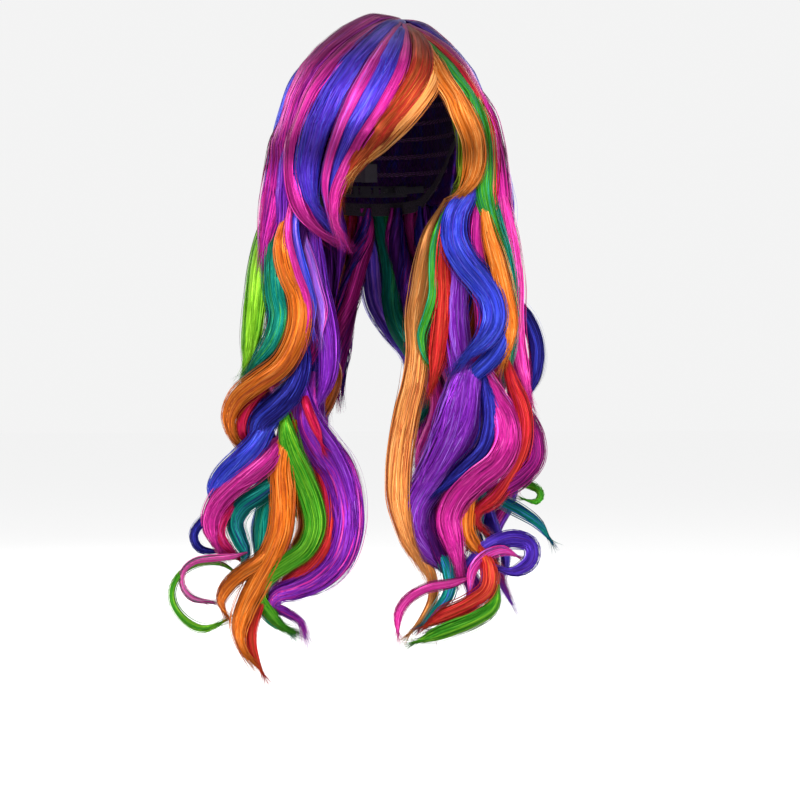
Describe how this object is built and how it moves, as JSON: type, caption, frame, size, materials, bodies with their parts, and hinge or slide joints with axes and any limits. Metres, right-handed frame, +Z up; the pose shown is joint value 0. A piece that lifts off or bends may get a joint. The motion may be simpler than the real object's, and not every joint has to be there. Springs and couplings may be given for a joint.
{
  "type": "long costume wig",
  "caption": "Long multicoloured costume wig on a stretch net cap, with a swept side fringe and wavy curled curtains of hair falling in front of both shoulders.",
  "frame": {"origin": "inside of the cap at the crown, where the top of the head sits", "axes": "+Z up, -Y towards the face, +X towards the wearer's left; -Z points down into the head cavity"},
  "size_m": [0.384, 0.2497, 0.6788],
  "materials": {
    "net": "open stretch net, matt",
    "lining": "soft knitted binding",
    "elastic": "ribbed elastic",
    "skin": "skin-coloured backing",
    "weft": "sewn weft track",
    "hook": "moulded hook",
    "label": "blank satin label",
    "stay": "bendable stay",
    "hair_magenta": "glossy synthetic fibre",
    "hair_blue": "glossy synthetic fibre",
    "hair_navy": "glossy synthetic fibre",
    "hair_purple": "glossy synthetic fibre",
    "hair_violet": "glossy synthetic fibre",
    "hair_teal": "glossy synthetic fibre",
    "hair_green": "glossy synthetic fibre",
    "hair_orange": "glossy synthetic fibre",
    "hair_red": "glossy synthetic fibre",
    "hair_pink": "glossy synthetic fibre"
  },
  "bodies": {
    "cap": {"care_label": "label", "centre_elastic": "elastic", "crown_blue_back": "hair_blue", "crown_blue_right": "hair_blue", "crown_magenta_left": "hair_magenta", "crown_magenta_right": "hair_magenta", "crown_orange_and_green_left": "hair_orange", "crown_orange_back": "hair_orange", "crown_purple_back": "hair_purple", "crown_red_right": "hair_red", "crown_teal_back": "hair_teal", "front_lining_band": "lining", "left_adjuster_strap": "elastic", "left_elastic": "elastic", "nape_band": "lining", "nape_loop_tape": "elastic", "parting_strip": "skin", "right_adjuster_strap": "elastic", "right_elastic": "elastic", "stretch_net_cap": "net", "weft_rows_lower": "weft", "weft_rows_middle": "weft", "weft_rows_upper": "weft"},
    "fringe": {"fringe_blue_lock": "hair_blue", "fringe_magenta_lock": "hair_magenta", "fringe_orange_lock": "hair_orange", "fringe_red_lock": "hair_red", "fringe_violet_lock": "hair_violet"},
    "right_curtain": {"right_back_locks": "hair_blue", "right_green_locks": "hair_green", "right_loose_curl": "hair_green", "right_magenta_lock": "hair_magenta", "right_nape_locks": "hair_purple", "right_navy_lock": "hair_navy", "right_orange_drop": "hair_orange", "right_orange_wave": "hair_orange", "right_purple_locks": "hair_purple", "right_red_lock": "hair_red", "right_teal_locks": "hair_teal", "right_under_locks": "hair_purple"},
    "left_curtain": {"left_back_locks": "hair_magenta", "left_blue_locks": "hair_blue", "left_green_locks": "hair_green", "left_magenta_locks": "hair_magenta", "left_nape_locks": "hair_navy", "left_orange_inner_lock": "hair_orange", "left_orange_outer_lock": "hair_orange", "left_pink_locks": "hair_pink", "left_purple_lock": "hair_purple", "left_red_locks": "hair_red", "left_teal_locks": "hair_teal", "left_under_locks": "hair_purple", "left_violet_locks": "hair_violet"},
    "right_ear_tab": {"right_ear_tab": "lining", "right_ear_tab_stay": "stay"},
    "left_ear_tab": {"left_ear_tab": "lining", "left_ear_tab_stay": "stay"},
    "right_hook": {"right_adjuster_hook": "hook"},
    "left_hook": {"left_adjuster_hook": "hook"}
  },
  "joints": [
    {"name": "fringe_lift", "type": "hinge", "parent": "cap", "child": "fringe", "pos_m": [0, -0.088, -0.066], "axis": [-1, 0, 0], "range_deg": [0, 35]},
    {"name": "right_curtain_swing", "type": "hinge", "parent": "cap", "child": "right_curtain", "pos_m": [-0.08, 0.013, -0.182], "axis": [0, 1, 0], "range_deg": [0, 12]},
    {"name": "left_curtain_swing", "type": "hinge", "parent": "cap", "child": "left_curtain", "pos_m": [0.071, -0.02, -0.182], "axis": [0, -1, 0], "range_deg": [0, 12]},
    {"name": "right_ear_tab_flex", "type": "hinge", "parent": "cap", "child": "right_ear_tab", "pos_m": [-0.0774, -0.031, -0.1083], "axis": [0.2532, -0.9674, 0], "range_deg": [0, 15]},
    {"name": "left_ear_tab_flex", "type": "hinge", "parent": "cap", "child": "left_ear_tab", "pos_m": [0.0774, -0.031, -0.1083], "axis": [0.2532, 0.9674, 0], "range_deg": [0, 15]},
    {"name": "right_adjuster", "type": "hinge", "parent": "cap", "child": "right_hook", "pos_m": [0, 0.0313, -0.16], "axis": [0, 0, -1], "range_deg": [0, 14], "deforming": ["right_adjuster_strap"]},
    {"name": "left_adjuster", "type": "hinge", "parent": "cap", "child": "left_hook", "pos_m": [0, 0.0313, -0.16], "axis": [0, 0, 1], "range_deg": [0, 14], "deforming": ["left_adjuster_strap"]}
  ]
}
